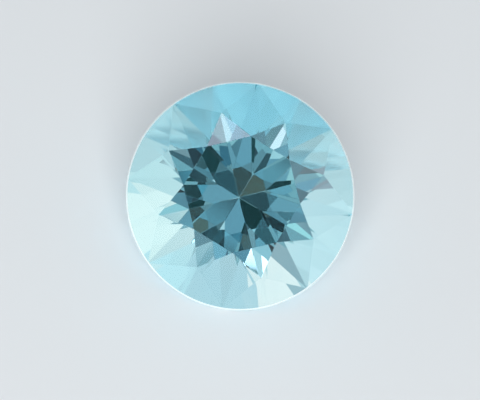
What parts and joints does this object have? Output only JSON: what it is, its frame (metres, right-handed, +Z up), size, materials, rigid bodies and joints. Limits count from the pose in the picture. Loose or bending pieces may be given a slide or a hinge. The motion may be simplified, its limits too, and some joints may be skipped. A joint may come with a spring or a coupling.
{
  "type": "faceted round brilliant aquamarine gemstone",
  "caption": "Loose round brilliant-cut gemstone, transparent pale aqua, lying face up on one of its pavilion facets.",
  "frame": {"origin": "under the middle of the bounding box, on the surface the stone lies on", "axes": "+Z up, -Y the way the table looks in plan, +X along the girdle's widest line; the resting facet faces -Z"},
  "size_m": [0.01, 0.0074, 0.007],
  "materials": {
    "aquamarine": "polished clear crystal, bruted matt girdle"
  },
  "bodies": {
    "root": {"aquamarine": "aquamarine"}
  },
  "joints": []
}
